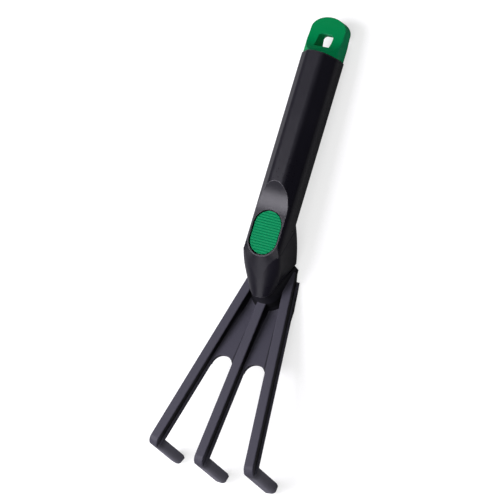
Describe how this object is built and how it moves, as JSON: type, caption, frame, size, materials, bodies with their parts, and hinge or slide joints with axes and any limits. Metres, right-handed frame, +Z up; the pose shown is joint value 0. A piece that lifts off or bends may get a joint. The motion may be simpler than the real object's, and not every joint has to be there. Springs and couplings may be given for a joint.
{
  "type": "hand cultivator",
  "caption": "Hand cultivator with an octagonal plastic handle, a ribbed thumb pad, a hanging cap and a fork of ribbed tines bent down into claws.",
  "frame": {"origin": "on the bench the tool lies on, under the middle of its length, in its plane of symmetry", "axes": "+X towards the tines, +Z up from the bench, the XZ plane is the plane of symmetry"},
  "size_m": [0.3024, 0.0792, 0.04],
  "materials": {
    "black_plastic": "satin black moulded plastic",
    "black_nylon": "satin black fibre-filled plastic",
    "green_plastic": "satin green moulded plastic",
    "green_grip": "soft green ribbed grip",
    "screw_steel": "zinc plated"
  },
  "bodies": {
    "root": {"handle": "black_plastic", "end_cap": "green_plastic", "thumb_pad": "green_grip", "tine_head": "black_nylon", "tang_screw": "screw_steel"}
  },
  "joints": []
}
